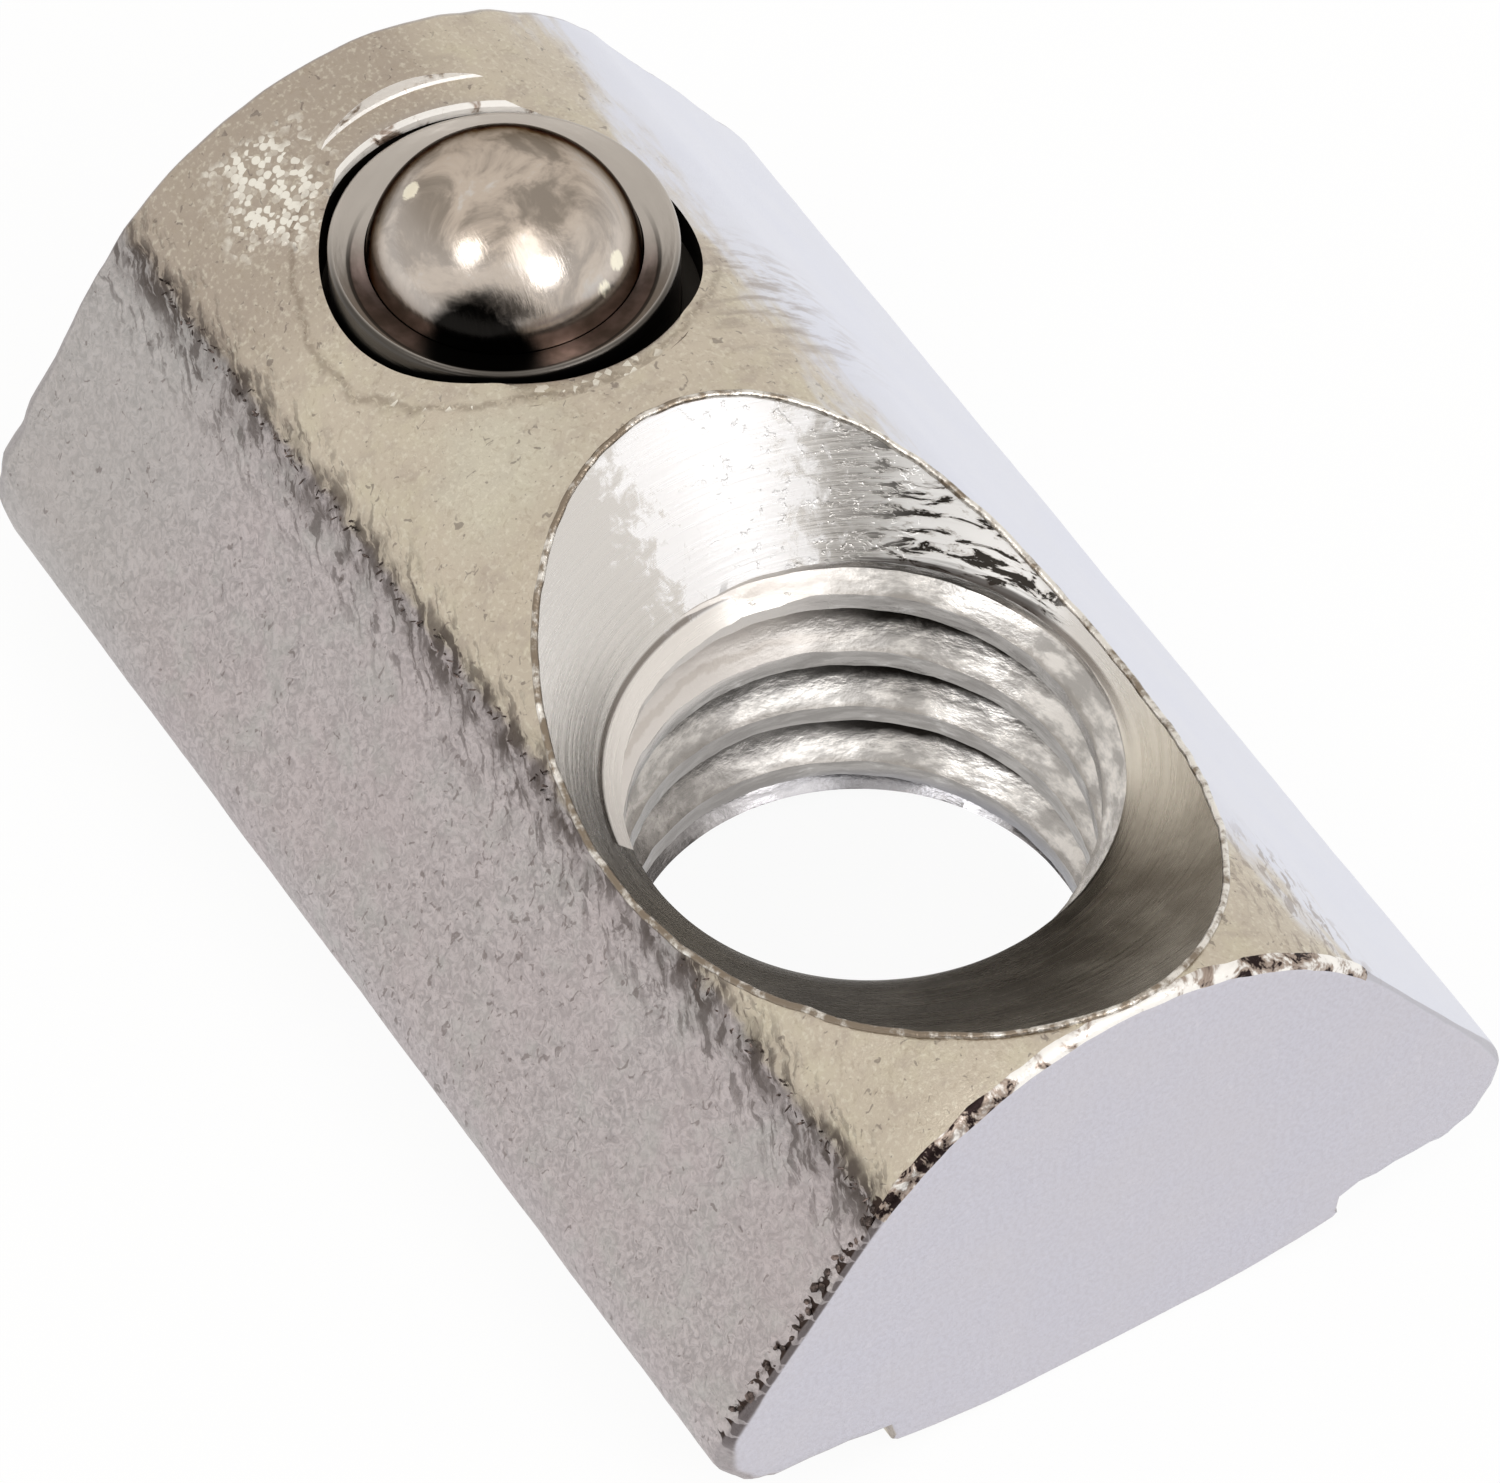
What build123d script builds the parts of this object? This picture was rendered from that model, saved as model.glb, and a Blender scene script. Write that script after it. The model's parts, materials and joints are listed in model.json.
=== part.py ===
from build123d import *
from math import asin, atan2, hypot, radians, sqrt, tan
import os

# T slot nut with a spring-loaded ball. Millimetres, +Z towards the arched back.
# The origin is on the thread axis at the lowest line of the neck, and +X runs along
# the slot, away from the ball.

# Thread: metric coarse, the bore is cut to the minor diameter
thread_diameter = 8.0
thread_pitch = 1.25
thread_lead_in = 0.4

# Body lengths along the slot
thread_to_near_end = 7.0
thread_to_ball = 9.25
ball_to_far_end = 4.3
end_bevel = 0.15

# Body cross-section
body_width = 12.8
body_height = 7.5
body_shift = -0.2
arch_width = 7.7
arch_rise = 1.8
arch_blend = 1.0
corner_radius = 1.15

# Neck between the lips of the slot
slot_width = 8.0
slot_clearance = 0.3
neck_height = 0.55
neck_flat_width = 2.4
neck_crown = 0.26
neck_edge_radius = 0.2

# Countersink on the arched side, its axis a little off the thread axis
countersink_diameter = 12.06
countersink_angle = 90.0
countersink_shift = 0.6

# Pocket for the ball plunger
spotface_diameter = 6.3
spotface_depth = 0.2
pocket_mouth_diameter = 5.48
pocket_mouth_depth = 1.4
sleeve_clearance = 0.01

# Ball plunger: sleeve, ball and spring
sleeve_diameter = 5.0
sleeve_length = 5.15
sleeve_inset = 0.25
sleeve_floor = 0.4
lip_height = 0.3
lip_edge = 0.03
ball_diameter = 4.0
ball_rise = 1.27
ball_clearance = 0.1
lip_clearance = 0.01
spring_wire = 0.35
spring_mean_diameter = 3.2
spring_turns = 4.5
wire_sides = 8
spring_clearance = 0.01

os.makedirs("parts", exist_ok=True)

# Thread and pocket radii
bore_radius = thread_diameter / 2 - 0.541266 * thread_pitch
pocket_radius = sleeve_diameter / 2 + sleeve_clearance

# Corner of the side flat and the shoulder, before rounding. The flat is the tangent
# from the edge of the arch to the rounded corner.
half_arch = arch_width / 2
arch_edge_height = body_height - arch_rise
corner_centre_y = body_width / 2 - corner_radius
corner_centre_z = neck_height + corner_radius
reach_y = corner_centre_y - half_arch
reach_z = arch_edge_height - corner_centre_z
flat_slope = atan2(reach_z, reach_y) - asin(corner_radius / hypot(reach_y, reach_z))
corner_y = half_arch + (arch_edge_height - neck_height) / tan(flat_slope)
half_neck = slot_width / 2 - slot_clearance
neck_edge = min(neck_edge_radius, 0.6 * (neck_height - neck_crown))

# Cone of the countersink, from inside the bore up to the back
cone_foot_radius = 0.9 * bore_radius - countersink_shift
cone_height = (countersink_diameter / 2 - cone_foot_radius) / tan(radians(countersink_angle / 2))

# Place and heights of the plunger's parts, on the body's mid plane
ball_centre_x = -thread_to_ball
ball_centre_y = body_shift
ball_centre_z = body_height + ball_rise - ball_diameter / 2
sleeve_top = body_height - sleeve_inset
pocket_floor = sleeve_top - sleeve_length
sleeve_floor_top = pocket_floor + sleeve_floor
sleeve_bore_radius = ball_diameter / 2 + ball_clearance
lip_z = ball_centre_z + lip_height
lip_radius = sqrt((ball_diameter / 2 + lip_clearance) ** 2 - lip_height**2)
spring_radius = spring_mean_diameter / 2
spring_bottom = sleeve_floor_top + spring_wire / 2 + spring_clearance
spring_reach = (ball_diameter + spring_wire) / 2 + spring_clearance
spring_top = ball_centre_z - sqrt(spring_reach**2 - spring_radius**2)

far_end = -(thread_to_ball + ball_to_far_end)
body_length = thread_to_near_end - far_end
ball_line = Axis((ball_centre_x, ball_centre_y, 0), (0, 0, 1))
section_plane = Plane(origin=(far_end, body_shift, 0), x_dir=(0, 1, 0), z_dir=(1, 0, 0))
sleeve_plane = Plane(origin=(ball_centre_x, ball_centre_y, 0), x_dir=(1, 0, 0), z_dir=(0, -1, 0))


# Nut body
with BuildPart() as nut_body:
    with BuildSketch(section_plane) as section:
        with BuildLine() as outline:
            strip = Line((0, 0), (neck_flat_width / 2, 0))
            crown = TangentArc(strip @ 1, (half_neck, neck_crown), tangent=strip % 1)
            side = Line(crown @ 1, (half_neck, neck_height))
            shoulder = Line(side @ 1, (corner_y, neck_height))
            flat = Line(shoulder @ 1, (half_arch, arch_edge_height))
            mirror(about=Plane.YZ)
            ThreePointArc((half_arch, arch_edge_height), (0, body_height), (-half_arch, arch_edge_height))
        make_face()
        body_corners = section.vertices().filter_by(lambda v: abs(abs(v.X) - corner_y) < 1e-6)
        fillet(body_corners, radius=corner_radius)
        arch_corners = section.vertices().filter_by(lambda v: abs(abs(v.X) - half_arch) < 1e-6)
        fillet(arch_corners, radius=arch_blend)
    extrude(amount=body_length)
    ends = nut_body.faces().filter_by(GeomType.PLANE).sort_by(Axis.X)
    chamfer(ends[0].edges() + ends[-1].edges(), length=end_bevel)
    neck_edges = nut_body.edges().filter_by(Axis.X).filter_by(lambda e: abs(e.center().Z - neck_crown) < 1e-3)
    fillet(neck_edges, radius=neck_edge)

    # Threaded hole, drilled from the neck with its lead-in
    with Locations(Plane(origin=(0, 0, 0), x_dir=(1, 0, 0), z_dir=(0, 0, -1))):
        CounterSinkHole(
            radius=bore_radius,
            counter_sink_radius=bore_radius + thread_lead_in,
            depth=body_height,
            counter_sink_angle=90,
        )

    # Countersink for the end of the screw
    with Locations((countersink_shift, 0, body_height)):
        Cone(
            bottom_radius=cone_foot_radius,
            top_radius=countersink_diameter / 2,
            height=cone_height,
            align=(Align.CENTER, Align.CENTER, Align.MAX),
            mode=Mode.SUBTRACT,
        )

    # Spot face and stepped blind pocket for the ball plunger
    with Locations((ball_centre_x, ball_centre_y, body_height)):
        Hole(radius=spotface_diameter / 2, depth=spotface_depth)
        Hole(radius=pocket_mouth_diameter / 2, depth=pocket_mouth_depth)
        Hole(radius=pocket_radius, depth=body_height - pocket_floor)
nut_body.part.label = "nut_body"
export_step(nut_body.part, "parts/nut_body.step")

# Plunger sleeve: a cup with a dished, rolled-in mouth that keeps the ball in
with BuildPart() as plunger_sleeve:
    with BuildSketch(sleeve_plane):
        with BuildLine():
            Polyline(
                (0, pocket_floor),
                (sleeve_diameter / 2, pocket_floor),
                (sleeve_diameter / 2, sleeve_top),
                (lip_radius, lip_z + lip_edge),
                (lip_radius, lip_z),
                (sleeve_bore_radius, ball_centre_z),
                (sleeve_bore_radius, sleeve_floor_top),
                (0, sleeve_floor_top),
                close=True,
            )
        make_face()
    revolve(axis=ball_line)
plunger_sleeve.part.label = "plunger_sleeve"
export_step(plunger_sleeve.part, "parts/plunger_sleeve.step")

# Ball, standing proud of the arched back
with BuildPart() as ball:
    with Locations((ball_centre_x, ball_centre_y, ball_centre_z)):
        Sphere(radius=ball_diameter / 2)
ball.part.label = "ball"
export_step(ball.part, "parts/ball.step")

# Spring between the floor of the sleeve and the ball
with BuildPart() as spring:
    with BuildLine() as coil:
        Helix(
            pitch=(spring_top - spring_bottom) / spring_turns,
            height=spring_top - spring_bottom,
            radius=spring_radius,
            center=(ball_centre_x, ball_centre_y, spring_bottom),
        )
    with BuildSketch(Plane(origin=coil.line @ 0, z_dir=coil.line % 0)):
        RegularPolygon(radius=spring_wire / 2, side_count=wire_sides)
    sweep(is_frenet=True)
spring.part.label = "spring"
export_step(spring.part, "parts/spring.step")
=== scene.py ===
import json
import math

import bpy
import numpy as np
from bpy.props import FloatProperty, FloatVectorProperty, IntProperty, PointerProperty
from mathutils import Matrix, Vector, noise


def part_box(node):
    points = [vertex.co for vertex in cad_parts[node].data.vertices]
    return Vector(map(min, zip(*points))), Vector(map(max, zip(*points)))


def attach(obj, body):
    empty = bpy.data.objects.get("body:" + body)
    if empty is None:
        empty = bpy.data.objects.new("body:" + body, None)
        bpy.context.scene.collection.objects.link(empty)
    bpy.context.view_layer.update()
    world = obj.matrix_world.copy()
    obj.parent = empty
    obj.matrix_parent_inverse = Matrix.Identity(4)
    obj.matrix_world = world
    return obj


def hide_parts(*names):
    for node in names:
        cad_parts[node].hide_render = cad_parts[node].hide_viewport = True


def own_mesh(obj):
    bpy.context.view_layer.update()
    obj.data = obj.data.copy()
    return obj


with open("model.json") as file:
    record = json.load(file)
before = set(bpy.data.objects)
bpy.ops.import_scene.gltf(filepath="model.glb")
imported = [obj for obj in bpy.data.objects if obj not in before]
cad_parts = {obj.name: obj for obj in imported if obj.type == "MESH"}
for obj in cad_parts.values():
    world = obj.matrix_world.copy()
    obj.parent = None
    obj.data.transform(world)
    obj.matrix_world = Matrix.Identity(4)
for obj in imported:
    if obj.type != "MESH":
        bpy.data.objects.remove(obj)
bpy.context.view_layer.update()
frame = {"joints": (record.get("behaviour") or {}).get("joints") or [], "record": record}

bl_info = {
    "name": "T slot nut",
    "version": (1, 0, 0),
    "blender": (4, 5, 0),
    "location": "View3D > Sidebar > Slot Nut",
    "description": "Builds a T slot nut with a ball plunger around its packed model",
    "category": "Object",
}

# Millimetres in a metre: sizes are kept in metres, and shapes are worked out in millimetres
MM = 1000
# A height in millimetres that is clear of the crown
CLEAR = 9.0
# Steps round the tapped hole and the countersink
ROUND_STEPS = 224
# Level direction of the near side, where the sleeve gets its painted dark patch; the thread's roots are counted
# opposite it
NEAR_SIDE = (0.85, -0.526)

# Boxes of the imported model, in metres
BODY_LOW, BODY_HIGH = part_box("nut_body")
SLEEVE_LOW, SLEEVE_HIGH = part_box("plunger_sleeve")
BALL_LOW, BALL_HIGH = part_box("ball")
SPRING_LOW, SPRING_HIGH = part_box("spring")
THREAD_MOUNT = next(m for m in frame["record"]["mounts"] if m["name"] == "thread")
BALL_JOINT = next(j for j in frame["joints"] if j["name"] == "ball_press")


def length(name, description, default):
    """A length property, kept in metres."""
    return FloatProperty(
        name=name, description=description, default=default, unit="LENGTH", subtype="DISTANCE", precision=5
    )


def colour(name, description, default):
    """A linear colour property."""
    return FloatVectorProperty(
        name=name, description=description, default=default, subtype="COLOR", size=3, min=0.0, max=1.0
    )


def share(name, description, default):
    """A number from nought to one."""
    return FloatProperty(name=name, description=description, default=default, min=0.0, max=1.0)


def angle(name, description, degrees):
    """An angle property, kept in radians."""
    return FloatProperty(name=name, description=description, default=math.radians(degrees), subtype="ANGLE")


class NutBodySizes(bpy.types.PropertyGroup):
    near_end: length("Near end", "Where the threaded end stops along the slot", BODY_HIGH.x)
    far_end: length("Far end", "Where the ball's end stops along the slot", BODY_LOW.x)
    width: length("Width", "Width over the rounded lower corners", BODY_HIGH.y - BODY_LOW.y)
    middle: length("Middle", "The body's mid plane beside the thread axis", (BODY_HIGH.y + BODY_LOW.y) / 2)
    height: length("Height", "From the neck's lowest line to the crown of the back", BODY_HIGH.z)
    arch_width: length("Arch width", "Chord of the arched back", 0.0077)
    arch_rise: length("Arch rise", "Height of the arch over its chord", 0.0018)
    corner_radius: length("Corner radius", "Radius of the lower corners", 0.00115)
    neck_width: length("Neck width", "Width of the neck between the slot's lips", 0.0074)
    neck_height: length("Neck height", "Height of the shoulders over the neck's lowest line", 0.00055)
    neck_flat: length("Neck flat", "Width of the flat strip along the neck", 0.0024)
    neck_crown: length("Neck crown", "Rise of the neck's face towards its edges", 0.00026)
    near_round: length("Near end rounding", "Rounding of the near end along the arch", 0.0002)
    far_round: length("Far end rounding", "Rounding of the far end along the arch", 0.0001)
    flat_round: length("Flat end rounding", "Rounding of the ends along the side flats", 0.0001)
    corner_round: length("Corner end rounding", "Rounding of the near end round the lower corners", 0.00045)
    far_corner_round: length("Far corner rounding", "Rounding of the far end round the lower corners", 0.0009)
    waviness: length("Waviness", "Depth of the soft unevenness of the skin", 0.000012)


class ThreadSizes(bpy.types.PropertyGroup):
    minor_radius: length("Minor radius", "Radius over the thread's crests", THREAD_MOUNT["dims"]["r_mm"] / MM)
    major_radius: length("Major radius", "Radius at the thread's roots", 0.004)
    pitch: length("Pitch", "Rise of the thread in one turn", 0.00125)
    lead_in: length("Lead-in", "Bevel where the screw enters", 0.0004)
    root_height: length("Root height", "Height of the first root where the helix faces back", 0.00152)
    sink_foot: length("Countersink foot", "Height where the countersink meets the thread", 0.00506)
    sink_foot_radius: length("Countersink foot radius", "Radius of the countersink at its foot", 0.00364)
    sink_radius: length("Countersink radius", "Radius of the countersink at the crown's height", 0.00607)
    sink_shift: length("Countersink shift", "Middle of the countersink beyond the thread axis at the crown", 0.0008)
    roughness: length("Thread roughness", "Unevenness of the tapped thread", 0.000014)
    rim_bead: length("Rim bead", "Radius of the worn bead round the countersink", 0.000055)


class PlungerSizes(bpy.types.PropertyGroup):
    spotface_radius: length("Spot face radius", "Radius of the spot face round the pocket", 0.00315)
    spotface_height: length("Spot face height", "Height of the spot face", 0.0073)
    mouth_long: length("Pocket mouth long radius", "Longer half width of the pocket's mouth", 0.002745)
    mouth_short: length("Pocket mouth short radius", "Shorter half width, across its pressed side", 0.00256)
    mouth_shift: length("Pocket mouth shift", "Shift of the mouth away from its pressed side", 0.00003)
    mouth_drift: length("Pocket mouth drift", "Shift of the mouth along its longer width", 0.00011)
    press_turn: angle("Press direction", "Direction of the mouth's pressed side", 126.0)
    mouth_floor: length("Pocket mouth floor", "Height where the wider mouth ends", 0.0061)
    sleeve_gap: length("Sleeve gap", "Radial clearance of the sleeve in its pocket", 0.00001)
    sleeve_wall: length("Sleeve wall", "Wall of the sleeve", 0.0004)
    lip_height: length("Lip height", "Rolled-in lip above the ball's centre", 0.0003)
    lip_gap: length("Lip gap", "Gap between the lip and the ball", 0.00001)
    wire: length("Spring wire", "Diameter of the spring's wire", 0.00035)
    turns: FloatProperty(name="Spring turns", description="Turns of the spring", default=4.5, min=1.0)


class Burrs(bpy.types.PropertyGroup):
    spacing: length("Spacing", "Distance between burr marks along an edge", 0.00007)
    size: length("Size", "Length of one burr mark", 0.00008)
    band: length("Band", "Width of the band that the marks fill", 0.00022)
    end_spacing: length("End spacing", "Distance between marks along the near end's left edge", 0.00011)
    end_size: length("End size", "Length of one mark on the near end's left edge", 0.00010)
    end_band: length("End band", "Width of the marked band on the near end's left edge", 0.00014)
    stoutness: share("Stoutness", "Width of a mark over its length", 0.3)
    end_stoutness: share("End stoutness", "Width over length of the marks on the near end's left edge", 0.75)
    seed: IntProperty(name="Seed", description="Fixed seed of the burr marks", default=7)


class Finishes(bpy.types.PropertyGroup):
    arch: colour("Arched back", "Warm plating on the arched back", (0.65, 0.58, 0.48))
    left_flat: colour("Left flat", "Grained plating on the left flat", (0.545, 0.502, 0.505))
    right_flat: colour("Right flat", "Smooth plating on the right flat", (0.78, 0.80, 0.89))
    ends: colour("Ends", "Plating on the sawn ends", (0.65, 0.64, 0.71))
    turned: colour("Turned steel", "Turned wall of the countersink", (0.82, 0.80, 0.78))
    # Painted shade: this brown darkens the near side of the countersink's wall, which is in shade
    tarnish: colour("Tarnish", "Brown film low in the countersink", (0.17, 0.145, 0.11))
    thread: colour("Thread", "Tapped thread", (0.72, 0.70, 0.68))
    # Painted highlight: the near-white of the rubbed edges stands for light that they catch
    worn: colour("Worn edge", "Edges rubbed bright", (0.92, 0.90, 0.87))
    rim: colour("Rim", "Worn rim of the countersink", (0.86, 0.83, 0.78))
    rim_brown: colour("Rim stain", "Brown stain on the rim of the countersink", (0.27, 0.22, 0.17))
    burr: colour("Burr", "Dark torn metal in the burr marks", (0.07, 0.055, 0.05))
    # Painted shade: the near-black of the pocket stands for the dark deep inside it
    pocket: colour("Pocket", "Dull wall of the plunger's pocket", (0.05, 0.045, 0.04))
    ball: colour("Ball", "Polished ball", (0.52, 0.45, 0.385))
    sleeve: colour("Sleeve", "Satin sleeve", (0.56, 0.52, 0.48))
    spring: colour("Spring", "Drawn spring wire", (0.42, 0.41, 0.40))


class Studio(bpy.types.PropertyGroup):
    camera_place: FloatVectorProperty(
        name="Camera place", description="Where the camera stands", default=(0.075895, -0.048755, 0.118322),
        subtype="TRANSLATION", unit="LENGTH", size=3,
    )
    camera_tilt: angle("Camera tilt", "Tilt up from straight down", 38.678)
    camera_turn: angle("Camera turn", "Turn about the vertical", 58.275)
    lens: FloatProperty(name="Lens", description="Focal length in millimetres on a 36 mm sensor", default=251.5)
    floor_size: length("Floor size", "Side of the floor", 4.0)
    floor: colour("Floor", "Plain pale floor", (0.9, 0.9, 0.9))
    floor_white: share("Floor white", "Share of plain white that the floor shows", 0.93)
    floor_glow: share("Floor in the metal", "Share of plain white the metal finds in the floor", 0.7)
    room: colour("Room", "Even light of the room", (0.84, 0.81, 0.77))
    shade: colour("Shaded side", "Darker side of the room, low behind the camera", (0.07, 0.065, 0.06))


GROUPS = {
    "nut_body_sizes": NutBodySizes,
    "nut_thread_sizes": ThreadSizes,
    "nut_plunger_sizes": PlungerSizes,
    "nut_burrs": Burrs,
    "nut_finishes": Finishes,
    "nut_studio": Studio,
}


# ---------------------------------------------------------------- node graphs


def shaded(colour, level):
    """A colour made darker or lighter by a factor."""
    return tuple(part * level for part in colour)


class Value:
    """A number in a node graph. Sums and products of it are nodes too."""

    def __init__(self, nodes, socket):
        self.nodes, self.socket = nodes, socket

    def __add__(self, other):
        return self.nodes.maths("ADD", self, other)

    def __sub__(self, other):
        return self.nodes.maths("SUBTRACT", self, other)

    def __rsub__(self, other):
        return self.nodes.maths("SUBTRACT", other, self)

    def __mul__(self, other):
        return self.nodes.maths("MULTIPLY", self, other)

    def __abs__(self):
        return self.nodes.maths("ABSOLUTE", self)


class Nodes:
    """Adds nodes to a tree and links or sets their inputs."""

    def __init__(self, tree):
        self.tree = tree

    def add(self, kind, settings=None, **inputs):
        node = self.tree.nodes.new(kind)
        for key, value in (settings or {}).items():
            setattr(node, key, value)
        for key, value in inputs.items():
            self.put(node.inputs[key.replace("_", " ")], value)
        return node

    def put(self, socket, value):
        if isinstance(value, Value):
            value = value.socket
        if isinstance(value, bpy.types.NodeSocket):
            self.tree.links.new(value, socket)
        else:
            socket.default_value = value

    def maths(self, operation, *values):
        node = self.add("ShaderNodeMath", {"operation": operation})
        for socket, value in zip(node.inputs, values):
            self.put(socket, value)
        return Value(self, node.outputs[0])

    def larger(self, first, second):
        return self.maths("MAXIMUM", first, second)

    def measure(self, operation, vector, other=None):
        """A vector's length, its distance from a point, or its dot product with a direction."""
        node = self.add("ShaderNodeVectorMath", {"operation": operation}, Vector=vector)
        if other is not None:
            node.inputs[1].default_value = other
        return Value(self, node.outputs["Value"])

    def vector(self, x=0.0, y=0.0, z=0.0):
        return self.add("ShaderNodeCombineXYZ", X=x, Y=y, Z=z).outputs[0]

    def axes(self, vector):
        return [Value(self, socket) for socket in self.add("ShaderNodeSeparateXYZ", Vector=vector).outputs]

    def ramp(self, value, low, high, to_low=0.0, to_high=1.0):
        """A smooth step of value from low..high to to_low..to_high."""
        node = self.add("ShaderNodeMapRange", {"interpolation_type": "SMOOTHSTEP"}, Value=value)
        for key, number in zip(("From Min", "From Max", "To Min", "To Max"), (low, high, to_low, to_high)):
            node.inputs[key].default_value = number
        return Value(self, node.outputs["Result"])

    def band(self, value, start, full, fade, end):
        """One between full and fade, and smoothly down to nothing at start and end."""
        return self.ramp(value, start, full) * self.ramp(value, end, fade)

    def mix(self, factor, first, second):
        node = self.add("ShaderNodeMix", {"data_type": "RGBA"}, Factor=factor)
        self.put(node.inputs["A"], self.solid(first))
        self.put(node.inputs["B"], self.solid(second))
        return node.outputs["Result"]

    def solid(self, value):
        return value if isinstance(value, bpy.types.NodeSocket) else (*value, 1.0)


class Graph(Nodes):
    """A material's node graph. Its pattern coordinates are millimetres on the object."""

    def __init__(self, name):
        self.material = bpy.data.materials.new(name)
        self.material.use_nodes = True
        super().__init__(self.material.node_tree)
        self.tree.nodes.clear()
        self.shader = self.add("ShaderNodeBsdfPrincipled", Metallic=1.0)
        self.add("ShaderNodeOutputMaterial", Surface=self.shader.outputs["BSDF"])
        coordinates = self.add("ShaderNodeTexCoord").outputs
        self.normal = coordinates["Normal"]
        self.place = self.stretch(coordinates["Object"], (MM, MM, MM))

    def stretch(self, vector, scale, turn=(0.0, 0.0, 0.0)):
        return self.add("ShaderNodeMapping", Vector=vector, Scale=scale, Rotation=turn).outputs["Vector"]

    def grain(self, scale, detail=3.0, roughness=0.55, distortion=0.0, over=None):
        """Uneven tone over the object, or over another vector."""
        node = self.add(
            "ShaderNodeTexNoise", Vector=self.place if over is None else over, Scale=scale, Detail=detail,
            Roughness=roughness, Distortion=distortion,
        )
        return Value(self, node.outputs["Fac"])

    def coats(self, base, *layers):
        """A colour with layers laid over it, each a share and a colour."""
        for share, colour in layers:
            base = self.mix(share, base, colour)
        return base

    def turn(self, x, y):
        """Angle about the thread axis, from -100 to 260 degrees."""
        seam = math.radians(80)
        level = x * math.cos(seam) + y * math.sin(seam)
        rise = y * math.cos(seam) - x * math.sin(seam)
        return self.maths("ARCTAN2", rise, level) + seam

    def bump(self, height, distance, strength):
        return self.add("ShaderNodeBump", Height=height, Distance=distance, Strength=strength).outputs["Normal"]

    def finish(self, colour, roughness, normal, metallic=1.0):
        inputs = self.shader.inputs
        self.put(inputs["Base Color"], colour)
        self.put(inputs["Roughness"], roughness)
        self.put(inputs["Normal"], normal)
        self.put(inputs["Metallic"], metallic)
        return self.material


# ---------------------------------------------------------------- materials


def plated_skin(finishes, shape):
    """Dull plating: warm on the arch, grained and pitted on the left flat, smooth on the right flat and ends."""
    graph = Graph("plated_skin")
    grain, ramp, band, mix, coats = graph.grain, graph.ramp, graph.band, graph.mix, graph.coats
    x, y, z = graph.axes(graph.place)
    across = y - shape.middle
    wander = grain(2.2) - 0.5
    drift = grain(1.1, 4.0, 0.6, over=graph.stretch(graph.place, (0.5, 1.6, 1.6))) - 0.5
    beyond_left = across + (wander * 0.25 + shape.half_arch)
    on_left = ramp(beyond_left, 0.06, -0.06)
    on_right = ramp(across + drift * 2.6 - ramp(x, 3.4, 5.6, 0.0, 0.8), 2.4, 3.3)
    end_facing = abs(graph.axes(graph.normal)[0])
    on_end = ramp(end_facing, 0.8, 0.97)
    off_end = 1.0 - on_end
    calm = graph.larger(on_end, on_right)
    cloud = ramp(grain(0.6, 4.0), 0.3, 0.7)
    stain = ramp(grain(1.4, 5.0, 0.6), 0.45, 0.72)
    worm = grain(6.5, 2.5, 0.6, 1.6)
    speck = grain(13.0, 2.0, 0.5)

    # The arched back: rusty and cloudy, dull towards the far left, rubbed pale beside the plunger
    rust = grain(2.6, 4.0, 0.62, over=graph.stretch(graph.place, (1.0, 0.5, 1.0), (0.0, 0.0, 0.6)))
    rubbed = graph.measure("DISTANCE", graph.place, (-5.9, -2.3, 7.0)) + wander * 1.5
    dull = ramp(x, -8.6, -11.2) * ramp(across, 1.4, 0.2)
    arch = coats(
        finishes.arch,
        (cloud * 0.35, shaded(finishes.arch, 0.86)),
        (stain * 0.4, (0.70, 0.66, 0.50)),
        (ramp(rust, 0.50, 0.68) * 0.42, (0.46, 0.39, 0.34)),
        (ramp(rubbed, 1.5, 0.4, 0.0, 0.5), (0.72, 0.70, 0.58)),
        (dull * 0.75, (0.43, 0.365, 0.31)),
        (ramp(worm, 0.48, 0.28, 0.0, 0.34), (0.40, 0.33, 0.25)),
        (ramp(speck, 0.50, 0.74, 0.0, 0.45), (0.84, 0.80, 0.68)),
    )

    # The left flat: grained, with dark hairs
    hairs = ramp(abs(grain(7.5, 1.5, 0.5, 2.2) - 0.5), 0.045, 0.0) * ramp(speck, 0.40, 0.58)
    left = coats(
        shaded(finishes.left_flat, 0.76),
        (ramp(worm, 0.30, 0.68), shaded(finishes.left_flat, 1.12)),
        (hairs * 0.42, shaded(finishes.left_flat, 0.50)),
        (cloud * 0.25, (0.56, 0.475, 0.485)),
        (graph.larger(stain, ramp(x, -8.0, -11.5)) * 0.32, (0.50, 0.52, 0.49)),
    )
    right = mix(cloud * 0.25, finishes.right_flat, (0.84, 0.85, 0.89))
    end = coats(
        finishes.ends,
        (ramp(speck, 0.35, 0.7, 0.0, 0.30), (0.50, 0.47, 0.51)),
        (ramp(worm, 0.55, 0.75) * 0.5, (0.72, 0.70, 0.76)),
        (cloud * 0.35, (0.66, 0.635, 0.665)),
    )

    # Small dark pits, denser in the middle of the left flat
    thick = ramp(abs(x + 1.0), 4.0, 0.5, 0.0, 0.05)
    pitted = grain(7.5, 2.0, 0.5, 0.8, over=graph.stretch(graph.place, (1.0, 1.0, 0.6)))
    pits = ramp(pitted + thick, 0.66, 0.72) * (1.0 - calm)

    # Dark smudged band along the left edge, with short drawn-out strokes
    along, aside = x - beyond_left * 0.45, beyond_left + x * 0.30
    drawn = grain(1.6, 4.0, 0.62, 0.4, over=graph.vector(along * 1.1, aside * 5.5))
    strokes = ramp(drawn, 0.50, 0.60)
    patchy = ramp(grain(1.7, over=graph.stretch(graph.place, (1.0, 0.2, 0.2))), 0.36, 0.58, 0.35, 1.0)
    core = band(beyond_left, -0.42, -0.10, 0.06, 0.24) * patchy * ramp(drawn, 0.40, 0.52, 0.25, 0.92)
    wide = band(beyond_left, -0.85, -0.1, 0.0, 0.50) * strokes * 0.8
    smudge = graph.larger(core, wide)

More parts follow.
